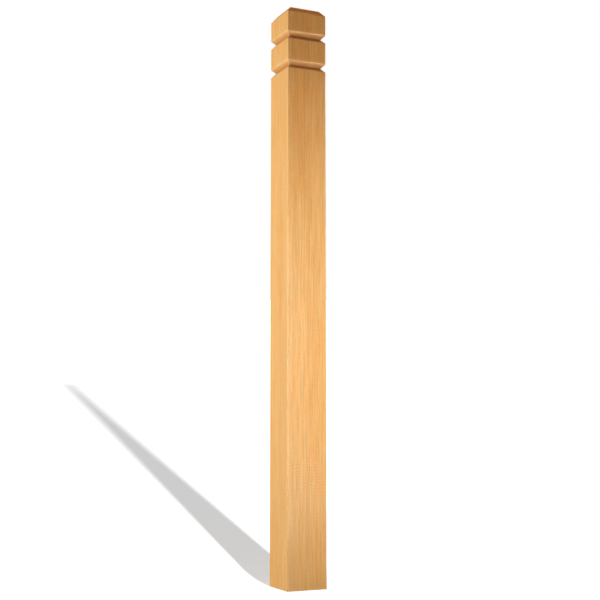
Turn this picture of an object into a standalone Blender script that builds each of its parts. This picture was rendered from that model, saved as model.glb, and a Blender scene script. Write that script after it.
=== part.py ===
"""Square newel post of solid timber, 3 1/2 in across its faces.

The shaft is plain. The head above it carries two V grooves, cut round all four faces, and a chamfered top.
Lengths are in metres, +Z runs up the post, and the four faces look along +X, -X, +Y and -Y.
The origin is the middle of the foot.
"""

import bmesh
import bpy

INCH = 0.0254

# The square section
FACE_WIDTH = 3.5 * INCH
ARRIS_RADIUS = 0.0625 * INCH
ARRIS_SEGMENTS = 3

# Lengths along the post, measured to the bottom of the lower groove
SHAFT_LENGTH = 42.75 * INCH
HEAD_LENGTH = 5.0 * INCH

# The V grooves round the head
GROOVE_COUNT = 2
GROOVE_SPACING = 2.5 * INCH
GROOVE_OPENING = 0.6875 * INCH
GROOVE_DEPTH = 0.34375 * INCH

# The chamfer round the top
CHAMFER_DROP = 0.5 * INCH
CHAMFER_INSET = 0.4375 * INCH

# The timber's finish
TIMBER_COLOUR = (0.78, 0.46, 0.20, 1.0)
TIMBER_ROUGHNESS = 0.5
TIMBER_METALLIC = 0.0


def clear_scene():
    """Remove every object that the file opened with."""
    for existing in list(bpy.data.objects):
        bpy.data.objects.remove(existing, do_unlink=True)


def make_timber():
    """Return the timber's material."""
    material = bpy.data.materials.new("timber")
    material.use_nodes = True
    shader = material.node_tree.nodes["Principled BSDF"]
    shader.inputs["Base Color"].default_value = TIMBER_COLOUR
    shader.inputs["Roughness"].default_value = TIMBER_ROUGHNESS
    shader.inputs["Metallic"].default_value = TIMBER_METALLIC
    return material


def face_profile():
    """Return the outline of a face from the foot up, as (height, inset from the flat face) pairs."""
    outline = []
    for index in range(GROOVE_COUNT):
        bottom = SHAFT_LENGTH + index * GROOVE_SPACING
        outline.append((bottom - GROOVE_OPENING / 2, 0.0))
        outline.append((bottom, GROOVE_DEPTH))
        outline.append((bottom + GROOVE_OPENING / 2, 0.0))
    top = SHAFT_LENGTH + HEAD_LENGTH
    outline.append((top - CHAMFER_DROP, 0.0))
    outline.append((top, CHAMFER_INSET))
    return outline


def make_foot(bm):
    """Draw the foot, a square with its corners rounded to the arris radius, and return its face."""
    bmesh.ops.create_grid(bm, x_segments=1, y_segments=1, size=FACE_WIDTH / 2)
    bmesh.ops.bevel(
        bm,
        geom=bm.verts[:],
        offset=ARRIS_RADIUS,
        offset_type="OFFSET",
        segments=ARRIS_SEGMENTS,
        profile=0.5,
        affect="VERTICES",
    )
    return max(bm.faces, key=lambda face: face.calc_area())


def make_post():
    """Raise the foot through the profile's steps, the same on all four sides, and return the post."""
    bm = bmesh.new()
    end_face = make_foot(bm)
    foot_rim = list(end_face.edges)
    half_width = FACE_WIDTH / 2
    for height, inset in face_profile():
        end_face = bmesh.ops.extrude_discrete_faces(bm, faces=[end_face])["faces"][0]
        narrowing = (FACE_WIDTH / 2 - inset) / half_width
        for vertex in end_face.verts:
            vertex.co.x *= narrowing
            vertex.co.y *= narrowing
            vertex.co.z = height
        half_width = FACE_WIDTH / 2 - inset
    bmesh.ops.holes_fill(bm, edges=foot_rim, sides=0)
    bmesh.ops.recalc_face_normals(bm, faces=bm.faces[:])

    mesh = bpy.data.meshes.new("newel_post")
    bm.to_mesh(mesh)
    bm.free()
    mesh.materials.append(make_timber())
    post = bpy.data.objects.new("newel_post", mesh)
    bpy.context.collection.objects.link(post)
    return post


clear_scene()
make_post()
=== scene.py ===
"""Newel post of solid timber, dressed for a plain white studio.

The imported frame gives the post's box. Inside it this script carves the timber's fine form: eased
arrises, V grooves with softened lips, a chamfered and sanded top, and a sawn foot. The timber is solid
all through, so its growth rings run down the faces, across the groove slopes and round the end grain as
one pattern.
Lengths are in metres, +Z runs up the post, and the wide face that the camera sees looks along -Y.
"""

import logging
import math
import random
from dataclasses import dataclass, field
from enum import Enum

import bpy
import numpy as np
from mathutils import Matrix, Vector


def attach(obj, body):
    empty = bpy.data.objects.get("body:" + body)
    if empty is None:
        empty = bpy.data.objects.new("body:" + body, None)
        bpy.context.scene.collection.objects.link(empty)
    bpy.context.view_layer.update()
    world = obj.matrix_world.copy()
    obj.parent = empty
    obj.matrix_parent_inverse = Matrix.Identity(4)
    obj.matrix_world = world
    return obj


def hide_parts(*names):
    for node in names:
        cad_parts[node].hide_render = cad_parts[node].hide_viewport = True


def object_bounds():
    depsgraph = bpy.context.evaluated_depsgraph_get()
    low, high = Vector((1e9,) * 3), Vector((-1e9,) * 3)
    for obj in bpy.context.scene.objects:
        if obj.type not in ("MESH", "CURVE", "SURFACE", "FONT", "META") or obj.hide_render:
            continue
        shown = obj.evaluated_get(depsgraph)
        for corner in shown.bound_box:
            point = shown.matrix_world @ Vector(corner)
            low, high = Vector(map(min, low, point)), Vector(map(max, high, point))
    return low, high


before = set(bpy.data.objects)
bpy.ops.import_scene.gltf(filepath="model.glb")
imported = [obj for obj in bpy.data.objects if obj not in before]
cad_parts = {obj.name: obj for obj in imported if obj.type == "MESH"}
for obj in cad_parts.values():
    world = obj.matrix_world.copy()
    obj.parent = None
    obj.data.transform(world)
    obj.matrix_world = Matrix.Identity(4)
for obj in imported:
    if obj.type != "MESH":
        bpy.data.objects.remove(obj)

INCH = 0.0254
MILLIMETRE = 0.001
CAD_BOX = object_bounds()

# A stretch of outline is divided when it is this many times longer than its last close row
LONG_STRETCH = 3

# Steps between the seeds of two faces, so that no two waves run alike
WAVE_STRIDE = 17
LEAN_STRIDE = 29

# Plain white, and the middle of a colour noise
WHITE = (1.0, 1.0, 1.0, 1.0)
NOISE_MIDDLE = (0.5, 0.5, 0.5)

log = logging.getLogger("newel_post")


class Side(Enum):
    """The four faces, each with the direction it looks in, counter-clockwise from above."""

    FRONT = (0.0, -1.0)
    RIGHT = (1.0, 0.0)
    BACK = (0.0, 1.0)
    LEFT = (-1.0, 0.0)


@dataclass(frozen=True)
class Wander:
    """A smooth, repeatable wandering value between -1 and 1, for sizes that drift along the timber.

    Attributes:
        wavelength: length of the longest swing, in metres.
        seed: picks one course among many.
        swings: how many waves are added, each shorter and weaker than the last.
        shortening: length of a wave as a share of the one before.
        fading: strength of a wave as a share of the one before.
    """

    wavelength: float
    seed: int
    swings: int = 4
    shortening: float = 0.55
    fading: float = 0.6

    def at(self, place: np.ndarray) -> np.ndarray:
        """Return the value along the timber.

        Args:
            place: distances along the timber, in metres.

        Returns:
            One value for each distance.
        """
        draw = random.Random(self.seed)
        total = np.zeros_like(place, dtype=float)
        weight_sum = 0.0
        for swing in range(self.swings):
            weight = self.fading ** swing
            length = self.wavelength * self.shortening ** swing
            phase = draw.uniform(0.0, math.tau)
            total += weight * np.sin(math.tau * place / length + phase)
            weight_sum += weight
        return total / weight_sum


@dataclass(frozen=True)
class OutlineCorner:
    """A corner of the post's outline, seen from the side.

    Attributes:
        height: height above the foot.
        inset: distance in from the flat faces.
        easing: radius that softens the corner.
        arris: radius of the four upright edges at this height.
    """

    height: float
    inset: float
    easing: float
    arris: float


@dataclass(frozen=True)
class Nick:
    """A small worn spot on an upright edge.

    Attributes:
        corner: number of the edge, 0 to 3.
        height: its middle above the foot.
        length: how far it runs along the edge.
        depth: how much it adds to the edge's radius.
    """

    corner: int
    height: float
    length: float
    depth: float


def fillet(corners: list[OutlineCorner], segments: int) -> np.ndarray:
    """Round each inner corner of an outline with an arc that meets both of its sides.

    Args:
        corners: the outline's corners in order.
        segments: flat pieces in each arc.

    Returns:
        Rows of (height, inset, arris radius).
    """
    rows = [(corners[0].height, corners[0].inset, corners[0].arris)]
    for before, corner, after in zip(corners, corners[1:], corners[2:]):
        here = np.array([corner.height, corner.inset])
        to_before = np.array([before.height, before.inset]) - here
        to_after = np.array([after.height, after.inset]) - here
        to_before /= np.linalg.norm(to_before)
        to_after /= np.linalg.norm(to_after)
        half_angle = math.acos(float(np.clip(to_before @ to_after, -1.0, 1.0))) / 2
        reach = corner.easing / math.tan(half_angle)
        middle = to_before + to_after
        middle /= np.linalg.norm(middle)
        centre = here + middle * corner.easing / math.sin(half_angle)
        start = here + to_before * reach - centre
        end = here + to_after * reach - centre
        sweep = math.atan2(start[0] * end[1] - start[1] * end[0], float(start @ end))
        for step in range(segments + 1):
            turn = sweep * step / segments
            swung = (
                start[0] * math.cos(turn) - start[1] * math.sin(turn),
                start[0] * math.sin(turn) + start[1] * math.cos(turn),
            )
            rows.append((centre[0] + swung[0], centre[1] + swung[1], corner.arris))
    rows.append((corners[-1].height, corners[-1].inset, corners[-1].arris))
    return np.array(rows)


def split_rows(rows: np.ndarray, longest: float, supports: tuple[float, ...]) -> np.ndarray:
    """Divide an outline's long stretches, with short ones kept at each end so that wear stays crisp.

    Args:
        rows: the outline's rows.
        longest: the longest stretch left between two rows.
        supports: distances of the close rows from each end.

    Returns:
        The rows with the new ones between them.
    """
    out = [rows[0]]
    for start, end in zip(rows, rows[1:]):
        length = float(np.hypot(*(end - start)[:2]))
        if length > LONG_STRETCH * supports[-1]:
            near = [distance / length for distance in supports]
            far = [1 - share for share in reversed(near)]
            count = max(1, math.ceil((far[0] - near[-1]) * length / longest))
            even = list(np.linspace(near[-1], far[0], count + 1))
            out.extend(start + (end - start) * share for share in near[:-1] + even + far[1:])
        out.append(end)
    return np.array(out)


@dataclass
class NewelPost:
    """The post itself, one square timber.

    Attributes:
        width: across the flat faces.
        length: foot to top.
        shaft: foot to the bottom of the lower groove.
        groove_count: how many grooves run round the head.
        groove_spacing: between the bottoms of two grooves.
        groove_opening: width of a groove at the face.
        groove_depth: depth of a groove.
        chamfer_drop: height of the top's chamfer.
        chamfer_inset: how far the chamfer comes in.
        arris: radius of the sanded upright edges.
        mitre: radius of the edges where two groove or chamfer slopes meet.
        lip: radius of a groove's lips and the chamfer's edges.
        root: radius at a groove's bottom.
        sawn_edge: radius of the foot's edge.
        hollow: how deep the planer's long waves lie in a face.
        hollow_share: the hollow's usual depth as a share of its deepest.
        hollow_wave: length of the planer's longest wave.
        lean: how far a hollow's deepest line leans to one side.
        lean_wave: length of the wave in which it leans from side to side.
        arris_drift: share by which the arris radius wanders.
        arris_wave: length of the wave in which it wanders.
        arris_most: largest arris radius as a share of the half width there.
        nick_count: worn spots on the upright edges.
        nick_heights: lowest and highest place of a worn spot, as shares of the length.
        nick_lengths: shortest and longest worn spot, in millimetres.
        nick_depths: least and most that a worn spot adds to the arris radius, in millimetres.
        hub: how close to the middle line the outline starts and ends.
        face_step: width of a mesh strip on a face.
        row_step: height of a mesh strip on the shaft.
        supports: distances of the close strips from a rounded edge.
        sanded_and_highlight_reach: how far the paler band of sanding wear and painted highlight reaches
            from an edge.
        arris_wear_and_highlight: how much the sander thinned the upright edges, with a painted highlight,
            from 0 to 1.
        lip_wear_and_highlight: how pale the lips that overhang a groove are, a painted highlight on top of
            sanding wear, from 0 to 1.
        rim_wear: how much the sander thinned the other edges that run round the post, from 0 to 1.
        settled_and_shade_reach: how far settled finish and painted shade reach from a groove's bottom.
        shelter: how much a groove keeps the sanding wear and painted highlight off the mitred edges at its
            bottom, from 0 to 1.
        corner_segments: flat pieces round an upright edge.
        easing_segments: flat pieces round a lip.
        seed: picks the course of every wander and nick.
        nicks: the worn spots, once they are drawn.
    """

    width: float
    length: float
    shaft: float = 42.75 * INCH
    groove_count: int = 2
    groove_spacing: float = 2.5 * INCH
    groove_opening: float = 0.6875 * INCH
    groove_depth: float = 0.34375 * INCH
    chamfer_drop: float = 0.5 * INCH
    chamfer_inset: float = 0.4375 * INCH
    arris: float = 2.0 * MILLIMETRE
    mitre: float = 0.7 * MILLIMETRE
    lip: float = 0.6 * MILLIMETRE
    root: float = 0.4 * MILLIMETRE
    sawn_edge: float = 0.4 * MILLIMETRE
    hollow: float = 0.12 * MILLIMETRE
    hollow_share: float = 0.55
    hollow_wave: float = 0.43
    lean: float = 0.5
    lean_wave: float = 0.9
    arris_drift: float = 0.18
    arris_wave: float = 0.31
    arris_most: float = 0.5
    nick_count: int = 14
    nick_heights: tuple[float, float] = (0.02, 0.98)
    nick_lengths: tuple[float, float] = (2.0, 7.0)
    nick_depths: tuple[float, float] = (0.2, 0.7)
    hub: float = 1.0 * MILLIMETRE
    face_step: float = 3.2 * MILLIMETRE
    row_step: float = 5.0 * MILLIMETRE
    supports: tuple[float, ...] = (0.5 * MILLIMETRE, 1.6 * MILLIMETRE)
    sanded_and_highlight_reach: float = 1.1 * MILLIMETRE
    # Pale edges: sanding wear, with a painted highlight on the arrises and most of all on the lips that
    # overhang a groove
    arris_wear_and_highlight: float = 0.34
    lip_wear_and_highlight: float = 1.0
    rim_wear: float = 0.30
    # Painted shade: darker colour near each groove's bottom, together with settled finish
    settled_and_shade_reach: float = 2.7 * MILLIMETRE
    shelter: float = 0.6
    corner_segments: int = 6
    easing_segments: int = 4
    seed: int = 31
    nicks: list[Nick] = field(default_factory=list)

    def groove_bottoms(self) -> list[float]:
        """Return the height of each groove's bottom."""
        return [self.shaft + index * self.groove_spacing for index in range(self.groove_count)]

    def spot(self, side: Side, height: float) -> tuple[float, float, float]:
        """Return the point on a face's middle line at a height above the foot."""
        out_x, out_y = side.value
        return (out_x * self.width / 2, out_y * self.width / 2, height)

    def outline(self) -> list[OutlineCorner]:
        """Return the outline from the middle of the foot, up a face and in to the middle of the top.

        Returns:
            Its corners in that order.
        """
        middle = self.width / 2 - self.hub
        corners = [
            OutlineCorner(0.0, middle, 0.0, self.arris),
            OutlineCorner(0.0, 0.0, self.sawn_edge, self.arris),
        ]
        for bottom in self.groove_bottoms():
            half = self.groove_opening / 2
            corners.append(OutlineCorner(bottom - half, 0.0, self.lip, self.arris))
            corners.append(OutlineCorner(bottom, self.groove_depth, self.root, self.mitre))
            corners.append(OutlineCorner(bottom + half, 0.0, self.lip, self.arris))
        corners.append(OutlineCorner(self.length - self.chamfer_drop, 0.0, self.lip, self.arris))
        corners.append(OutlineCorner(self.length, self.chamfer_inset, self.lip, self.mitre))
        corners.append(OutlineCorner(self.length, middle, 0.0, self.mitre))
        return corners

    def draw_nicks(self) -> None:
        """Choose the worn spots along the upright edges."""
        draw = random.Random(self.seed)
        for index in range(self.nick_count):
            self.nicks.append(
                Nick(
                    corner=index % len(Side),
                    height=draw.uniform(*self.nick_heights) * self.length,
                    length=draw.uniform(*self.nick_lengths) * MILLIMETRE,
                    depth=draw.uniform(*self.nick_depths) * MILLIMETRE,
                )
            )

    def edge_radii(self, rows: np.ndarray) -> np.ndarray:
        """Return the radius of each upright edge at each row.

        Args:
            rows: the outline's rows.

        Returns:
            An array of rows by four edges.
        """
        height, inset, radius = rows.T
        half_width = self.width / 2 - inset
        radii = np.empty((len(rows), len(Side)))
        for corner in range(len(Side)):
            drift = Wander(wavelength=self.arris_wave, seed=self.seed + corner).at(height)
            radii[:, corner] = radius * (1.0 + self.arris_drift * drift)
            for nick in self.nicks:
                if nick.corner == corner:
                    near = np.exp(-(((height - nick.height) / nick.length) ** 2))
                    radii[:, corner] += nick.depth * near
        return np.minimum(radii, half_width[:, None] * self.arris_most)

    def face_shares(self) -> np.ndarray:
        """Return the places of the mesh's columns across a face.

        Returns:
            The places, from -1 at one edge to 1 at the other.
        """
        half = self.width / 2 - self.arris
        near = [1.0 - distance / half for distance in self.supports]
        count = math.ceil(2 * half * near[-1] / self.face_step)
        even = list(np.linspace(-near[-1], near[-1], count + 1))
        left = [-1.0] + [-share for share in near[:-1]]
        right = [-share for share in reversed(left)]
        return np.array(left + even + right)

    def hollows(self, rows: np.ndarray, shares: np.ndarray, side: int) -> np.ndarray:
        """Return how far one face's surface lies in from true, where the planer left its long waves.

        Args:
            rows: the outline's rows.
            shares: the columns' places across the face.
            side: number of the face.

        Returns:
            An array of rows by columns, zero at the edges and on the two ends.
        """
        upright = (rows[:, 0] > self.sawn_edge) & (rows[:, 0] < self.length - self.lip)
        wave_seed = self.seed + WAVE_STRIDE * (side + 1)
        lean_seed = self.seed + LEAN_STRIDE * (side + 1)
        along = Wander(wavelength=self.hollow_wave, seed=wave_seed).at(rows[:, 0])
        lean = Wander(wavelength=self.lean_wave, seed=lean_seed).at(rows[:, 0])
        depth = self.hollow * (self.hollow_share + (1.0 - self.hollow_share) * along)[:, None]
        belly = (1.0 - shares ** 2) * (1.0 + self.lean * lean[:, None] * shares)
        return depth * belly * upright[:, None]

    def build(self) -> bpy.types.Object:
        """Make the post's mesh.

        Returns:
            The post, at the origin of the frame.
        """
        self.draw_nicks()
        rows = split_rows(fillet(self.outline(), self.easing_segments), self.row_step, self.supports)
        radii = self.edge_radii(rows)
        shares = self.face_shares()
        half_width = self.width / 2 - rows[:, 1]
        sides = [np.array(side.value) for side in Side]
        columns: list[np.ndarray] = []
        eased: list[float] = []
        for number, outward in enumerate(sides):
            along = np.array([-outward[1], outward[0]])
            following = (number + 1) % len(sides)
            start = -(half_width - radii[:, number])
            end = half_width - radii[:, following]
            hollow = self.hollows(rows, shares, number)
            for index, share in enumerate(shares):
                place = start + (end - start) * (share + 1) / 2
                out = half_width - hollow[:, index]
                columns.append(out[:, None] * outward + place[:, None] * along)
                eased.append(math.exp(-(1 - abs(share)) * (self.width / 2 - self.arris) / self.sanded_and_highlight_reach))
            centre = end[:, None] * along + end[:, None] * outward
            radius = radii[:, following][:, None]
            for step in range(1, self.corner_segments):
                turn = math.pi / 2 * step / self.corner_segments
                direction = outward * math.cos(turn) + along * math.sin(turn)
                columns.append(centre + radius * direction)
                eased.append(1.0)
        ring = np.stack(columns, axis=1)
        return self.skin(ring, rows, np.array(eased))

    def skin(self, ring: np.ndarray, rows: np.ndarray, eased: np.ndarray) -> bpy.types.Object:
        """Join the rows of points into one closed mesh.

        Args:
            ring: rows by columns by (x, y).
            rows: the outline's rows.
            eased: how much each column belongs to a rounded edge.

        Returns:
            The post, with its wear, painted highlight and painted shade stored at its points.
        """
        row_count, column_count = ring.shape[:2]
        heights = np.broadcast_to(rows[:, 0][:, None, None], (row_count, column_count, 1))
        points = np.concatenate((ring, heights), axis=2).reshape(-1, 3)
        ends = np.array([[0.0, 0.0, 0.0], [0.0, 0.0, self.length]])
        foot_middle, top_middle = len(points), len(points) + 1
        faces: list[tuple[int, ...]] = []
        for row in range(row_count - 1):
            for column in range(column_count):
                beside = (column + 1) % column_count
                low, high = row * column_count, (row + 1) * column_count
                faces.append((low + column, low + beside, high + beside, high + column))
        last = (row_count - 1) * column_count
        for column in range(column_count):
            beside = (column + 1) % column_count
            faces.append((beside, column, foot_middle))
            faces.append((last + column, last + beside, top_middle))
        mesh = bpy.data.meshes.new("newel_post_timber")
        mesh.from_pydata(np.vstack((points, ends)).tolist(), [], faces)
        mesh.shade_smooth()
        self.store_wear_and_painted_light(mesh, rows, eased)
        mesh.validate()
        post = bpy.data.objects.new("newel_post_timber", mesh)
        bpy.context.scene.collection.objects.link(post)
        return post

    def sanded_and_highlit_edges(self) -> list[tuple[float, float]]:
        """Return how pale each edge that runs round the post is, from sanding wear and painted highlight:
        lips, chamfer and foot.

        Returns:
            The height and the paleness of each.
        """
        half = self.groove_opening / 2
        worn_with_painted_light = [(height, self.rim_wear) for height in (0.0, self.length - self.chamfer_drop, self.length)]
        for bottom in self.groove_bottoms():
            worn_with_painted_light.append((bottom - half, self.rim_wear))
            # The lips that overhang a groove get a painted highlight on top of their sanding wear
            worn_with_painted_light.append((bottom + half, self.lip_wear_and_highlight))
        return worn_with_painted_light

    def store_wear_and_painted_light(self, mesh: bpy.types.Mesh, rows: np.ndarray, eased: np.ndarray) -> None:
        """Store at each point its sanding wear with painted highlight, and its settled finish with painted
        shade.

        Args:
            mesh: the post's mesh.
            rows: the outline's rows.
            eased: how much each column belongs to an upright edge.
        """
        height, inset = rows[:, 0], rows[:, 1]
        settled_and_shade = np.zeros(len(rows))
        # Painted shade with settled finish, darkest at each groove's bottom and fading away from it
        for bottom in self.groove_bottoms():
            settled_and_shade += np.exp(-np.abs(height - bottom) / self.settled_and_shade_reach)
        round_post = np.zeros(len(rows))
        for edge, wear in self.sanded_and_highlit_edges():
            round_post += wear * np.exp(-np.abs(height - edge) / self.sanded_and_highlight_reach)
        # Pale upright edges: sanding wear with a painted highlight, kept off the mitred edges inside the
        # grooves
        outer = 1.0 - self.shelter * np.clip(inset / self.groove_depth, 0.0, 1.0)
        upright = self.arris_wear_and_highlight * eased[None, :] * outer[:, None]
        sanded_and_highlight = np.maximum(upright, np.clip(round_post, 0.0, 1.0)[:, None])
        at_ends = (0.0, 0.0)
        for name, values in {
            "sanded_and_highlight": sanded_and_highlight.ravel(),
            "settled_and_shade": np.repeat(settled_and_shade, len(eased)),
        }.items():
            stored = mesh.attributes.new(name, "FLOAT", "POINT")
            stored.data.foreach_set("value", np.concatenate((values, at_ends)).astype(np.float32))

    def dress(self, post: bpy.types.Object, finish: "TimberFinish") -> None:
        """Give the post its finish."""
        post.data.materials.append(finish.material())


@dataclass(frozen=True)
class Grain:
    """Noise that is drawn out along the timber.

    Attributes:
        pitch: swings for each metre along X, along Y and up the post.
        detail: finer layers on top of the first.
        low: level of the noise that counts as none of it.
        high: level that counts as all of it.
    """

    pitch: tuple[float, float, float]
    detail: float
    low: float = 0.0
    high: float = 1.0


class Laying(Enum):
    """How one colour is laid over another."""

    COVER = "MIX"
    TINT = "MULTIPLY"


class Reading(Enum):
    """What is read from a noise: one value, or three at once."""

    VALUE = "Fac"
    COLOUR = "Color"


class Shading:
    """Adds nodes to one material and joins them, so that a finish reads as a recipe."""

    # The Mix node's sockets when it mixes colours
    MIX_SHARE = 0
    MIX_FIRST = 6
    MIX_SECOND = 7
    MIX_COLOUR = 2

    def __init__(self, name: str) -> None:
        """Start an empty material with its shader.

        Args:
            name: the material's name.
        """
        self.material = bpy.data.materials.new(name)
        self.material.use_nodes = True
        self.nodes = self.material.node_tree.nodes
        self.links = self.material.node_tree.links
        self.shader = self.nodes["Principled BSDF"]

    def feed(self, socket: bpy.types.NodeSocket, value: object) -> None:
        """Set a socket to a number, a vector or another node's output.

        Args:
            socket: the input.
            value: what it takes.
        """
        if isinstance(value, bpy.types.NodeSocket):
            self.links.new(value, socket)
        else:
            socket.default_value = value

    def add(
        self, kind: str, *values: object, output: int | str = 0, **settings: object
    ) -> bpy.types.NodeSocket:
        """Add a node and return one of its outputs.

        Args:
            kind: the node's type, without the word ShaderNode.
            values: what its inputs take in order, with None to leave one alone.
            output: number or name of the output wanted.
            settings: the node's own settings.

        Returns:
            The output socket.
        """
        node = self.nodes.new("ShaderNode" + kind)
        for name, value in settings.items():
            setattr(node, name, value)
        for socket, value in zip(node.inputs, values):
            if value is not None:
                self.feed(socket, value)
        return node.outputs[output]

    def math(self, operation: str, *values: object) -> bpy.types.NodeSocket:
        """Add a Math node and return its result."""
        return self.add("Math", *values, operation=operation)

    def vector(self, operation: str, *values: object) -> bpy.types.NodeSocket:
        """Add a Vector Math node and return its vector."""
        return self.add("VectorMath", *values, operation=operation)

    def split(self, vector: bpy.types.NodeSocket) -> tuple[bpy.types.NodeSocket, ...]:
        """Return a vector's X, Y and Z.

        Args:
            vector: the vector.

        Returns:
            The three outputs.
        """
        node = self.nodes.new("ShaderNodeSeparateXYZ")
        self.feed(node.inputs[0], vector)
        return tuple(node.outputs)

    def noise(
        self, place: object, grain: Grain, reading: Reading = Reading.VALUE
    ) -> bpy.types.NodeSocket:
        """Return a grain's noise at a point of the timber.

        Args:
            place: the point.
            grain: how the noise is drawn out.
            reading: what is read from it.

        Returns:
            The noise.
        """
        node = self.nodes.new("ShaderNodeTexNoise")
        self.feed(node.inputs["Vector"], self.vector("MULTIPLY", place, grain.pitch))
        node.inputs["Scale"].default_value = 1.0
        node.inputs["Detail"].default_value = grain.detail
        return node.outputs[reading.value]

    def remap(
        self, value: object, low: float, high: float, to_low: float = 0.0, to_high: float = 1.0
    ) -> bpy.types.NodeSocket:
        """Return a value taken smoothly from one range to another and held there."""
        return self.add("MapRange", value, low, high, to_low, to_high, interpolation_type="SMOOTHSTEP")

    def level(
        self, value: object, grain: Grain, least: float = 0.0, most: float = 1.0
    ) -> bpy.types.NodeSocket:
        """Return a grain's noise taken from none of it to all of it."""
        return self.remap(value, grain.low, grain.high, least, most)

    def tint(self, colour: object, tint: object) -> bpy.types.NodeSocket:
        """Return a colour multiplied by a tint."""
        return self.blend(1.0, colour, tint, Laying.TINT)

    def blend(
        self, share: object, first: object, second: object, laying: Laying = Laying.COVER
    ) -> bpy.types.NodeSocket:
        """Return two colours blended.

        Args:
            share: how much of the second colour shows, from 0 to 1.
            first: the colour beneath.
            second: the colour laid over it.
            laying: how it is laid.

        Returns:
            The blended colour.
        """
        node = self.nodes.new("ShaderNodeMix")
        node.data_type = "RGBA"
        node.blend_type = laying.value
        self.feed(node.inputs[self.MIX_SHARE], share)
        self.feed(node.inputs[self.MIX_FIRST], first)
        self.feed(node.inputs[self.MIX_SECOND], second)
        return node.outputs[self.MIX_COLOUR]

    def curve(self, value: object, stops: tuple[tuple[float, float], ...]) -> bpy.types.NodeSocket:
        """Return a value read from a ramp.

        Args:
            value: where the ramp is read, from 0 to 1.
            stops: the ramp's stops, as (place, brightness).

        Returns:
            The brightness there.
        """
        node = self.nodes.new("ShaderNodeValToRGB")
        self.feed(node.inputs[0], value)
        ramp = node.color_ramp
        for place, _ in stops[len(ramp.elements):]:
            ramp.elements.new(place)
        for element, (place, level) in zip(ramp.elements, stops):
            element.position = place
            element.color = (level, level, level, 1.0)
        return node.outputs[0]


@dataclass(frozen=True)
class TimberMaps:
    """What the timber is like at a point, each worked out by the material's nodes.

    Attributes:
        late: summer wood, from 0 to 1.
        streak: the broad streaks that run with the grain.
        fibre: the fine ones between them.
        pore: open pores, from 0 to 1.
        ripple: figure that crosses the grain, from -1 to 1.
        across: how squarely the wood is cut across, from 0 to 1.
        sanded_and_highlight: how much the sander thinned it, with painted highlight, from 0 to 1.
    """

    late: bpy.types.NodeSocket
    streak: bpy.types.NodeSocket
    fibre: bpy.types.NodeSocket
    pore: bpy.types.NodeSocket
    ripple: bpy.types.NodeSocket
    across: bpy.types.NodeSocket
    sanded_and_highlight: bpy.types.NodeSocket


@dataclass(frozen=True)
class SatinCoat:
    """The thin clear coat, and the relief of the wood that shows through it.

    Attributes:
        rough: roughness over the smoothest wood.
        rough_fibre: what the fine fibres add.
        rough_pore: what a pore adds.
        rough_across: what wood that is cut across adds.
        rough_sanded: what a sanded edge adds, below 0 because it is rubbed smooth.
        index: refractive index.
        mirror: strength of the reflection.
        relief_late: how far summer wood stands up, as a share of the relief.
        relief_fibre: how far the fine fibres do.
        relief_pore: how far a pore does, below 0 because it is open.
        relief_ripple: how far the ripple figure does.
        relief_shown: how much of the relief the coat lets through.
        relief_depth: height of the whole relief.
    """

    rough: float = 0.36
    rough_fibre: float = 0.16
    rough_pore: float = 0.12
    rough_across: float = 0.14
    rough_sanded: float = -0.05
    index: float = 1.47
    mirror: float = 0.4
    relief_late: float = 0.35
    relief_fibre: float = 0.5
    relief_pore: float = -0.6
    relief_ripple: float = 0.10
    relief_shown: float = 0.35
    relief_depth: float = 0.12 * MILLIMETRE

    def dress(self, make: Shading, maps: TimberMaps) -> None:
        """Set the material's gloss and relief.

        Args:
            make: the material.
            maps: what the timber is like at a point.
        """
        rough = make.math("MULTIPLY_ADD", maps.fibre, self.rough_fibre, self.rough)
        rough = make.math("MULTIPLY_ADD", maps.pore, self.rough_pore, rough)
        rough = make.math("MULTIPLY_ADD", maps.across, self.rough_across, rough)
        rough = make.math("MULTIPLY_ADD", maps.sanded_and_highlight, self.rough_sanded, rough)
        make.feed(make.shader.inputs["Roughness"], rough)
        make.shader.inputs["IOR"].default_value = self.index
        make.shader.inputs["Specular IOR Level"].default_value = self.mirror

        relief = make.math("MULTIPLY", maps.fibre, self.relief_fibre)
        relief = make.math("MULTIPLY_ADD", maps.late, self.relief_late, relief)
        relief = make.math("MULTIPLY_ADD", maps.pore, self.relief_pore, relief)
        relief = make.math("MULTIPLY_ADD", maps.ripple, self.relief_ripple, relief)
        bump = make.nodes.new("ShaderNodeBump")
        bump.inputs["Strength"].default_value = self.relief_shown
        bump.inputs["Distance"].default_value = self.relief_depth
        make.feed(bump.inputs["Height"], relief)
        make.feed(make.shader.inputs["Normal"], bump.outputs[0])


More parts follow.
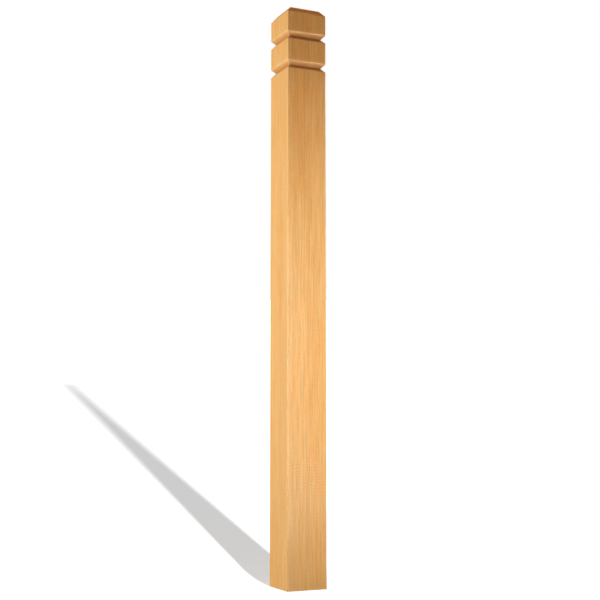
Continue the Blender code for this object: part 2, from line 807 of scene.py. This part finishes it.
@dataclass(frozen=True)
class GrowthRings:
    """The tree's years, as rings round a heart that passes beside the post.

    Attributes:
        pith: where the heart passes the foot.
        pith_lean: how far the heart leans for each metre up.
        width: one year's usual growth.
        drift: the slow noise that bends the rings.
        drift_reach: how far it bends them.
        year_pace: how quickly wide and narrow years follow each other, in swings a year.
        year_detail: finer layers in that noise.
        year_reach: how many usual years the wide and narrow ones add up to.
        shades: the summer wood's strength through one year, as stops of (part of the year, strength).
        faintest: strength of the faintest year beside the strongest.
    """

    pith: tuple[float, float] = (-0.115, -0.130)
    pith_lean: tuple[float, float] = (0.012, -0.008)
    width: float = 3.0 * MILLIMETRE
    drift: Grain = Grain(pitch=(9.0, 9.0, 1.6), detail=2.0)
    drift_reach: float = 12.0 * MILLIMETRE
    year_pace: float = 0.37
    year_detail: float = 2.0
    year_reach: float = 3.2
    shades: tuple[tuple[float, float], ...] = (
        (0.0, 0.02), (0.45, 0.12), (0.80, 0.75), (0.93, 1.0), (1.0, 0.02),
    )
    faintest: float = 0.3

    def years(self, make: Shading, place: bpy.types.NodeSocket) -> bpy.types.NodeSocket:
        """Return the wood's age in years at a point.

        Args:
            make: the material.
            place: the point in the timber.

        Returns:
            The count of years from the heart.
        """
        drift = make.noise(place, self.drift, Reading.COLOUR)
        drift = make.vector("SUBTRACT", drift, NOISE_MIDDLE)
        shift = make.vector("MULTIPLY", drift, (self.drift_reach, self.drift_reach, 0.0))
        x, y, z = make.split(make.vector("ADD", place, shift))
        heart_x = make.math("MULTIPLY_ADD", z, self.pith_lean[0], self.pith[0])
        heart_y = make.math("MULTIPLY_ADD", z, self.pith_lean[1], self.pith[1])
        from_x = make.math("SUBTRACT", x, heart_x)
        from_y = make.math("SUBTRACT", y, heart_y)
        squares = make.math("MULTIPLY", from_x, from_x)
        squares = make.math("MULTIPLY_ADD", from_y, from_y, squares)
        count = make.math("DIVIDE", make.math("SQRT", squares), self.width)
        pace = make.math("MULTIPLY", count, self.year_pace)
        uneven = make.add("TexNoise", None, pace, 1.0, self.year_detail, noise_dimensions="1D")
        return make.math("MULTIPLY_ADD", uneven, self.year_reach, count)

    def wood(
        self, make: Shading, place: bpy.types.NodeSocket
    ) -> tuple[bpy.types.NodeSocket, bpy.types.NodeSocket]:
        """Return the summer wood's strength and how far through its year the wood is.

        Args:
            make: the material.
            place: the point in the timber.

        Returns:
            A value from 0, spring wood, to 1, summer wood, and the part of the year from 0 to 1.
        """
        count = self.years(make, place)
        part = make.math("FRACT", count)
        strength = make.add("TexWhiteNoise", None, make.math("FLOOR", count), noise_dimensions="1D")
        strength = make.math("MULTIPLY_ADD", strength, 1.0 - self.faintest, self.faintest)
        return make.math("MULTIPLY", make.curve(part, self.shades), strength), part


@dataclass(frozen=True)
class RippleFigure:
    """Faint ripples that cross the grain in scattered patches.

    Attributes:
        height: middle of the patch that shows most.
        reach: how far that patch runs up and down.
        wave: distance between two ripples.
        bend: the noise that bends them.
        bend_reach: how many ripples it bends them by.
        scatter: the noise that breaks them into patches, with how softly a patch ends.
        elsewhere: how readily they show away from that patch.
        at_height: how much more readily they show in it.
    """

    height: float = 0.225
    reach: float = 0.045
    wave: float = 6.0 * MILLIMETRE
    bend: Grain = Grain(pitch=(46.0, 46.0, 22.0), detail=3.0)
    bend_reach: float = 4.0
    scatter: Grain = Grain(pitch=(75.0, 75.0, 26.0), detail=2.0, low=-0.10, high=0.14)
    elsewhere: float = 0.40
    at_height: float = 0.22

    def ripple(self, make: Shading, place: bpy.types.NodeSocket) -> bpy.types.NodeSocket:
        """Return the ripples at a point, from -1 to 1.

        Args:
            make: the material.
            place: the point in the timber.

        Returns:
            The ripples, 0 where there are none.
        """
        height = make.split(place)[2]
        turns = make.math("DIVIDE", height, self.wave)
        turns = make.math("MULTIPLY_ADD", make.noise(place, self.bend), self.bend_reach, turns)
        ripple = make.math("SINE", make.math("MULTIPLY", turns, math.tau))
        off = make.math("DIVIDE", make.math("SUBTRACT", height, self.height), self.reach)
        fall = make.math("MULTIPLY", make.math("MULTIPLY", off, off), -1.0)
        patch = make.math("POWER", math.e, fall)
        patch = make.math("MULTIPLY_ADD", patch, self.at_height, self.elsewhere)
        patch = make.math("SUBTRACT", patch, make.noise(place, self.scatter))
        return make.math("MULTIPLY", ripple, make.level(patch, self.scatter))


@dataclass(frozen=True)
class TimberFinish:
    """Planed and sanded honey-coloured timber under a thin satin coat.

    Attributes:
        early: colour of the pale spring wood.
        late: colour of the darker summer wood.
        warm: colour that broad streaks of the timber drift towards.
        pore: colour inside the open pores.
        streak_dark: tint of the darkest streaks.
        streak_pale: tint of the palest streaks.
        speck_tint: tint of the short flecks between the fibres.
        blush: tint of the timber's redder patches.
        flaxen: tint of its paler, yellower patches.
        end_grain: tint of wood that is cut across.
        settled_and_shade: tint where finish lies in a groove, with painted shade at its bottom.
        sanded_and_highlight: colour of the edges that the sander has thinned, also a painted highlight.
        tone: the broad drift of colour.
        streak: the streaks that run with the grain.
        fibre: the fine fibres.
        dash: the pores, short dashes.
        speck: the flecks.
        patch: the redder and yellower patches.
        rub: how unevenly the sander rubbed the edges.
        warm_most: how far the drift goes towards the warm colour.
        ring_shown: how much of the rings shows on a long face beside the end grain.
        pore_shown: how dark a pore is.
        pore_span: parts of the year between which the pores thin out.
        pore_least: how many pores are left in summer wood.
        fibre_span: darkest and palest fibre.
        ripple_shown: how much the ripple figure changes the colour.
        settled_and_shade_shown: how dark the settled finish and painted shade are.
        rub_least: least that the sander left of the wear.
        cut_span: how far a surface tips up or down before it counts as cut across.
        end_fade: how much of the streaks is lost where the wood is cut across.
        rings: the tree's years.
        figure: the ripple figure.
        coat: the clear coat.
    """

    early: tuple[float, float, float, float] = (0.80, 0.460, 0.165, 1.0)
    late: tuple[float, float, float, float] = (0.60, 0.280, 0.075, 1.0)
    warm: tuple[float, float, float, float] = (0.74, 0.370, 0.105, 1.0)
    pore: tuple[float, float, float, float] = (0.46, 0.200, 0.045, 1.0)
    streak_dark: tuple[float, float, float, float] = (0.91, 0.850, 0.71, 1.0)
    streak_pale: tuple[float, float, float, float] = (1.04, 1.075, 1.16, 1.0)
    speck_tint: tuple[float, float, float, float] = (0.96, 0.925, 0.87, 1.0)
    blush: tuple[float, float, float, float] = (1.02, 0.965, 0.89, 1.0)
    flaxen: tuple[float, float, float, float] = (0.98, 1.030, 1.09, 1.0)
    end_grain: tuple[float, float, float, float] = (0.86, 0.78, 0.68, 1.0)
    # Darker tint for settled finish and for painted shade at the grooves' bottoms
    settled_and_shade: tuple[float, float, float, float] = (0.42, 0.27, 0.12, 1.0)
    # Pale colour of sanded edges, also used as a painted highlight
    sanded_and_highlight: tuple[float, float, float, float] = (0.92, 0.600, 0.270, 1.0)
    tone: Grain = Grain(pitch=(26.0, 26.0, 1.9), detail=3.0, low=0.35, high=0.68)
    streak: Grain = Grain(pitch=(600.0, 780.0, 13.0), detail=3.0, low=0.28, high=0.72)
    fibre: Grain = Grain(pitch=(1900.0, 1900.0, 30.0), detail=2.0, low=0.30, high=0.70)
    dash: Grain = Grain(pitch=(1250.0, 1250.0, 26.0), detail=1.0, low=0.58, high=0.70)
    speck: Grain = Grain(pitch=(820.0, 820.0, 210.0), detail=1.0, low=0.30, high=0.70)
    patch: Grain = Grain(pitch=(70.0, 70.0, 16.0), detail=3.0, low=0.30, high=0.70)
    rub: Grain = Grain(pitch=(60.0, 60.0, 24.0), detail=3.0, low=0.30, high=0.70)
    warm_most: float = 0.6
    ring_shown: float = 0.70
    pore_shown: float = 0.30
    pore_span: tuple[float, float] = (0.10, 0.55)
    pore_least: float = 0.25
    fibre_span: tuple[float, float] = (0.95, 1.05)
    ripple_shown: float = 0.045
    settled_and_shade_shown: float = 0.74
    rub_least: float = 0.60
    cut_span: tuple[float, float] = (0.35, 1.0)
    end_fade: float = 0.75
    rings: GrowthRings = GrowthRings()
    figure: RippleFigure = RippleFigure()
    coat: SatinCoat = SatinCoat()

    def pores(
        self, make: Shading, place: bpy.types.NodeSocket, part: bpy.types.NodeSocket
    ) -> bpy.types.NodeSocket:
        """Return the open pores, short dark dashes that crowd the spring wood, as 0 to 1 in a pore."""
        crowd = make.remap(part, *self.pore_span, 1.0, self.pore_least)
        return make.math("MULTIPLY", make.level(make.noise(place, self.dash), self.dash), crowd)

    def cut_across(self, make: Shading) -> bpy.types.NodeSocket:
        """Return how squarely the surface cuts across the grain, from 0 on a face to 1 on an end."""
        tipped = make.split(make.add("TexCoord", output="Normal"))[2]
        return make.remap(make.math("ABSOLUTE", tipped), *self.cut_span)

    def maps(self, make: Shading, place: bpy.types.NodeSocket) -> TimberMaps:
        """Return what the timber is like at a point.

        Args:
            make: the material.
            place: the point in the timber.

        Returns:
            Its maps.
        """
        late, part = self.rings.wood(make, place)
        return TimberMaps(
            late=late,
            streak=make.noise(place, self.streak),
            fibre=make.noise(place, self.fibre),
            pore=self.pores(make, place, part),
            ripple=self.figure.ripple(make, place),
            across=self.cut_across(make),
            sanded_and_highlight=make.add("Attribute", output="Fac", attribute_name="sanded_and_highlight"),
        )

    def wood(
        self, make: Shading, place: bpy.types.NodeSocket, maps: TimberMaps
    ) -> bpy.types.NodeSocket:
        """Return the bare wood's colour.

        Args:
            make: the material.
            place: the point in the timber.
            maps: what the timber is like there.

        Returns:
            The colour, before any wear.
        """
        along = make.math("MULTIPLY_ADD", maps.across, -self.end_fade, 1.0)
        tone = make.level(make.noise(place, self.tone), self.tone, 0.0, self.warm_most)
        colour = make.blend(tone, self.early, self.warm)
        ringed = make.math("MULTIPLY_ADD", maps.across, 1.0 - self.ring_shown, self.ring_shown)
        colour = make.blend(make.math("MULTIPLY", maps.late, ringed), colour, self.late)
        colour = make.blend(make.math("MULTIPLY", maps.pore, self.pore_shown), colour, self.pore)
        streaks = make.blend(make.level(maps.streak, self.streak), self.streak_dark, self.streak_pale)
        colour = make.blend(along, colour, streaks, Laying.TINT)
        patches = make.level(make.noise(place, self.patch), self.patch)
        patches = make.blend(patches, self.blush, self.flaxen)
        colour = make.blend(along, colour, patches, Laying.TINT)
        colour = make.tint(colour, make.level(maps.fibre, self.fibre, *self.fibre_span))
        speck = make.math("MULTIPLY", make.level(make.noise(place, self.speck), self.speck), along)
        colour = make.blend(speck, colour, make.tint(colour, self.speck_tint))
        colour = make.tint(colour, make.math("MULTIPLY_ADD", maps.ripple, self.ripple_shown, 1.0))
        return make.blend(maps.across, colour, make.tint(colour, self.end_grain))

    def worn_with_painted_light(
        self, make: Shading, place: bpy.types.NodeSocket, maps: TimberMaps, colour: bpy.types.NodeSocket
    ) -> bpy.types.NodeSocket:
        """Return the wood's colour with settled finish and painted shade in its grooves, and its edges
        paler from sanding wear and painted highlight.

        Args:
            make: the material.
            place: the point in the timber.
            maps: what the timber is like there.
            colour: the bare wood's colour.

        Returns:
            The finished colour.
        """
        # Painted shade and settled finish, laid as a darker tint at the grooves' bottoms
        settled_and_shade = make.add("Attribute", output="Fac", attribute_name="settled_and_shade")
        settled_and_shade = make.math("MULTIPLY", settled_and_shade, self.settled_and_shade_shown)
        colour = make.blend(settled_and_shade, colour, make.tint(colour, self.settled_and_shade))
        # Paler edges: sanding wear with a painted highlight on the arrises and on the lips that overhang a
        # groove
        rubbed = make.level(make.noise(place, self.rub), self.rub, self.rub_least, 1.0)
        return make.blend(make.math("MULTIPLY", maps.sanded_and_highlight, rubbed), colour, self.sanded_and_highlight)

    def material(self) -> bpy.types.Material:
        """Make the timber's material.

        Returns:
            The finished material.
        """
        make = Shading("sanded_timber")
        place = make.add("TexCoord", output="Object")
        maps = self.maps(make, place)
        colour = self.worn_with_painted_light(make, place, maps, self.wood(make, place, maps))
        make.feed(make.shader.inputs["Base Color"], colour)
        self.coat.dress(make, maps)
        return make.material


@dataclass(frozen=True)
class PaperFloor:
    """A wide sheet of white studio paper, level under the post and rising gently behind it.

    Attributes:
        reach: half of its width.
        drop: gap that keeps it clear of the foot.
        bearing: direction in which it rises, counter-clockwise from +X, in degrees.
        level: how far behind the post's middle it stays level.
        bend: length of the curve between the level part and the rise.
        bend_rows: mesh strips in that curve.
        climb: how far it rises for each metre.
        tone: the paper's reflectance.
        glow: light that the paper adds by itself, so that it reads as plain white.
    """

    reach: float = 30.0
    drop: float = 0.3 * MILLIMETRE
    bearing: float = 64.8
    level: float = 0.075
    bend: float = 0.20
    bend_rows: int = 10
    climb: float = 0.13
    tone: float = 0.80
    glow: float = 0.59

    def height(self, behind: float) -> float:
        """Return the sheet's height at a distance behind the post's middle.

        Args:
            behind: the distance, below 0 in front of the post.

        Returns:
            The height above the foot.
        """
        bent = min(max(behind - self.level, 0.0), self.bend)
        straight = max(behind - self.level - self.bend, 0.0)
        return self.climb * (bent ** 2 / (2 * self.bend) + straight) - self.drop

    def build(self) -> bpy.types.Object:
        """Make the floor.

        Returns:
            The floor.
        """
        places = [self.level + self.bend * row / self.bend_rows for row in range(self.bend_rows + 1)]
        places = [-self.reach, *places, self.reach]
        edges = (self.reach, -self.reach)
        points = [(place, across, self.height(place)) for place in places for across in edges]
        faces = [(row, row + 1, row + 3, row + 2) for row in range(0, len(points) - 2, 2)]
        mesh = bpy.data.meshes.new("paper_floor")
        mesh.from_pydata(points, [], faces)
        mesh.transform(Matrix.Rotation(math.radians(self.bearing), 4, "Z"))
        make = Shading("white_paper")
        make.shader.inputs["Base Color"].default_value = (self.tone, self.tone, self.tone, 1.0)
        make.shader.inputs["Roughness"].default_value = 1.0
        make.shader.inputs["Specular IOR Level"].default_value = 0.0
        make.shader.inputs["Emission Color"].default_value = WHITE
        make.shader.inputs["Emission Strength"].default_value = self.glow
        mesh.materials.append(make.material)
        floor = bpy.data.objects.new("paper_floor", mesh)
        bpy.context.scene.collection.objects.link(floor)
        floor.visible_diffuse = False
        floor.visible_glossy = False
        return floor


class Lit(Enum):
    """What a lamp shines on."""

    POST = "post"
    FLOOR = "floor"


class Gel(Enum):
    """The sheets of colour that hang before the lamps."""

    NONE = (1.0, 1.0, 1.0)
    AMBER = (1.0, 0.5, 0.2)
    PALE_BLUE = (0.92, 0.98, 1.0)


@dataclass(frozen=True)
class SoftPanel:
    """A soft box, aimed at a point.

    Attributes:
        name: the lamp's name.
        place: its middle.
        aim: the point it faces.
        width: its width.
        height: its height.
        power: its output in watts.
        gel: the sheet of colour before it.
        beam: how wide its light spreads, in degrees.
    """

    name: str
    place: tuple[float, float, float]
    aim: tuple[float, float, float]
    width: float
    height: float
    power: float
    gel: Gel = Gel.NONE
    beam: float = 180.0

    def hang(self, receivers: dict[Lit, bpy.types.Collection]) -> bpy.types.Object:
        """Hang the lamp.

        Args:
            receivers: the collection that each kind of lamp shines on.

        Returns:
            The lamp.
        """
        lamp = bpy.data.lights.new(self.name, "AREA")
        lamp.shape = "RECTANGLE"
        lamp.size, lamp.size_y = self.width, self.height
        lamp.energy, lamp.color = self.power, self.gel.value
        lamp.spread = math.radians(self.beam)
        hung = bpy.data.objects.new(self.name, lamp)
        bpy.context.scene.collection.objects.link(hung)
        hung.location = self.place
        towards = Vector(self.aim) - Vector(self.place)
        hung.rotation_euler = towards.to_track_quat("-Z", "Y").to_euler()
        hung.visible_camera = False
        hung.light_linking.receiver_collection = receivers[Lit.POST]
        return hung


@dataclass(frozen=True)
class Sun:
    """A distant lamp that throws the post's shadow on the floor.

    Attributes:
        heading: direction that its light travels in, counter-clockwise from +X, in degrees.
        slope: how steeply the light falls, in degrees below level.
        softness: width of the lamp as the floor sees it, in degrees.
        strength: its irradiance.
    """

    heading: float = 81.8
    slope: float = 6.9
    softness: float = 1.8
    strength: float = 15.0

    def hang(self, receivers: dict[Lit, bpy.types.Collection]) -> bpy.types.Object:
        """Hang the lamp over the floor.

        Args:
            receivers: the collection that each kind of lamp shines on.

        Returns:
            The lamp.
        """
        lamp = bpy.data.lights.new("shadow_sun", "SUN")
        lamp.energy = self.strength
        lamp.angle = math.radians(self.softness)
        hung = bpy.data.objects.new("shadow_sun", lamp)
        bpy.context.scene.collection.objects.link(hung)
        heading, slope = math.radians(self.heading), math.radians(self.slope)
        travel = Vector(
            (math.cos(heading) * math.cos(slope), math.sin(heading) * math.cos(slope), -math.sin(slope))
        )
        hung.rotation_euler = travel.to_track_quat("-Z", "Y").to_euler()
        hung.light_linking.receiver_collection = receivers[Lit.FLOOR]
        return hung


@dataclass
class Studio:
    """The lamps and the white surround.

    Attributes:
        panels: the soft boxes.
        sun: the lamp that throws the shadow.
        surround: strength of the even light from all round.
    """

    panels: tuple[SoftPanel, ...]
    sun: Sun = field(default_factory=Sun)
    surround: float = 0.02

    def receivers(self, post: bpy.types.Object, floor: bpy.types.Object) -> dict[Lit, bpy.types.Collection]:
        """Return the collections that the lamps shine on.

        Args:
            post: the object that the panels light.
            floor: the paper that takes the shadow.

        Returns:
            One collection for each kind of lamp.
        """
        made = {}
        for lit, shone_on in {Lit.POST: post, Lit.FLOOR: floor}.items():
            made[lit] = bpy.data.collections.new("lit_" + lit.value)
            made[lit].objects.link(shone_on)
        return made

    def build(self, post: bpy.types.Object, floor: bpy.types.Object) -> None:
        """Hang every lamp and set the surround.

        Args:
            post: the object that the panels light.
            floor: the paper that takes the shadow.
        """
        receivers = self.receivers(post, floor)
        for panel in self.panels:
            panel.hang(receivers)
        self.sun.hang(receivers)
        world = bpy.data.worlds.new("white_surround")
        world.use_nodes = True
        nodes, links = world.node_tree.nodes, world.node_tree.links
        path = nodes.new("ShaderNodeLightPath")
        level = nodes.new("ShaderNodeMapRange")
        level.inputs["To Min"].default_value = self.surround
        level.inputs["To Max"].default_value = 1.0
        links.new(path.outputs["Is Camera Ray"], level.inputs["Value"])
        background = nodes["Background"]
        background.inputs["Color"].default_value = WHITE
        links.new(level.outputs["Result"], background.inputs["Strength"])
        bpy.context.scene.world = world
        bpy.context.scene.view_settings.view_transform = "Standard"


@dataclass(frozen=True)
class StudioCamera:
    """The camera, low and to the left of the wide face, looking slightly up.

    Attributes:
        bearing: how far round to the left of the -Y direction it stands, in degrees.
        distance: level distance from the post's middle line.
        height: height above the floor.
        swing: how far its view is turned from +Y towards +X, in degrees.
        rise: how far it looks up, in degrees.
        lens: focal length in millimetres on a 36 mm sensor.
    """

    bearing: float = 25.1
    distance: float = 2.385
    height: float = 0.33
    swing: float = 25.2
    rise: float = 6.27
    lens: float = 68.5

    def place(self) -> bpy.types.Object:
        """Make the camera.

        Returns:
            The camera, set as the scene's own.
        """
        data = bpy.data.cameras.new("studio_camera")
        data.lens = self.lens
        camera = bpy.data.objects.new("studio_camera", data)
        bpy.context.scene.collection.objects.link(camera)
        bearing, swing, rise = (math.radians(angle) for angle in (self.bearing, self.swing, self.rise))
        look = Vector((math.sin(swing) * math.cos(rise), math.cos(swing) * math.cos(rise), math.sin(rise)))
        right = look.cross(Vector((0.0, 0.0, 1.0))).normalized()
        turned = Matrix((right, right.cross(look), -look)).transposed().to_4x4()
        turned.translation = (
            -math.sin(bearing) * self.distance,
            -math.cos(bearing) * self.distance,
            self.height,
        )
        camera.matrix_world = turned
        bpy.context.scene.camera = camera
        return camera


def studio_panels(newel: NewelPost) -> tuple[SoftPanel, ...]:
    """Return the soft boxes.

    The ones at the side stand behind the plane of the front, so that each lights one face alone.

    Args:
        newel: the post they light.

    Returns:
        Every soft box.
    """
    front, left = Side.FRONT, Side.LEFT
    return (
        SoftPanel(
            name="left_side_panel", place=(-1.8, 0.6, 0.65), aim=newel.spot(left, 0.7),
            width=0.8, height=1.0, power=48.0,
        ),
        SoftPanel(
            name="left_high_panel", place=(-3.0, 0.8, 4.0), aim=newel.spot(left, 0.8),
            width=0.8, height=0.8, power=20.0,
        ),
        SoftPanel(
            name="front_far_panel", place=(0.2, -2.4, 0.6), aim=newel.spot(front, 0.6),
            width=0.4, height=1.6, power=10.0, gel=Gel.AMBER,
        ),
        SoftPanel(
            name="front_near_panel", place=(0.04, -0.65, 0.56), aim=newel.spot(front, 0.56),
            width=0.15, height=0.5, power=4.2, gel=Gel.PALE_BLUE,
        ),
        SoftPanel(
            name="front_foot_panel", place=(0.12, -0.5, 0.16), aim=newel.spot(front, 0.16),
            width=0.2, height=0.12, power=0.9, gel=Gel.PALE_BLUE,
        ),
        SoftPanel(
            name="overhead_panel", place=(0.0, -0.35, 3.2), aim=(0.0, 0.0, newel.length),
            width=0.5, height=0.5, power=12.0, gel=Gel.AMBER,
        ),
        SoftPanel(
            name="underside_panel", place=(0.0, -0.42, 0.03), aim=newel.spot(front, 1.1),
            width=0.1, height=0.1, power=0.05, beam=22.0,
        ),
        SoftPanel(
            name="back_right_panel", place=(1.5, 1.1, 1.7), aim=(0.0, 0.0, 0.7),
            width=1.0, height=1.4, power=60.0,
        ),
        SoftPanel(
            name="back_low_panel", place=(1.2, 1.4, 0.35), aim=(0.0, 0.0, 0.3),
            width=0.8, height=0.6, power=16.0,
        ),
    )


def main() -> None:
    """Build the post, its floor, the lamps and the camera, in that order."""
    logging.basicConfig(level=logging.INFO, format="%(name)s: %(message)s")
    low, high = CAD_BOX
    size = high - low
    newel = NewelPost(width=size.x, length=size.z)
    post = newel.build()
    newel.dress(post, TimberFinish())
    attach(post, "root")
    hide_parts("newel_post")
    log.info("post: %d points, %d faces", len(post.data.vertices), len(post.data.polygons))

    paper = PaperFloor()
    floor = paper.build()
    log.info("floor: %.0f m wide", 2 * paper.reach)
    studio = Studio(panels=studio_panels(newel))
    studio.build(post, floor)
    log.info("lamps: %d panels and the shadow's lamp", len(studio.panels))
    camera = StudioCamera().place()
    log.info("camera: %.1f mm lens", camera.data.lens)


if __name__ == "__main__":
    main()
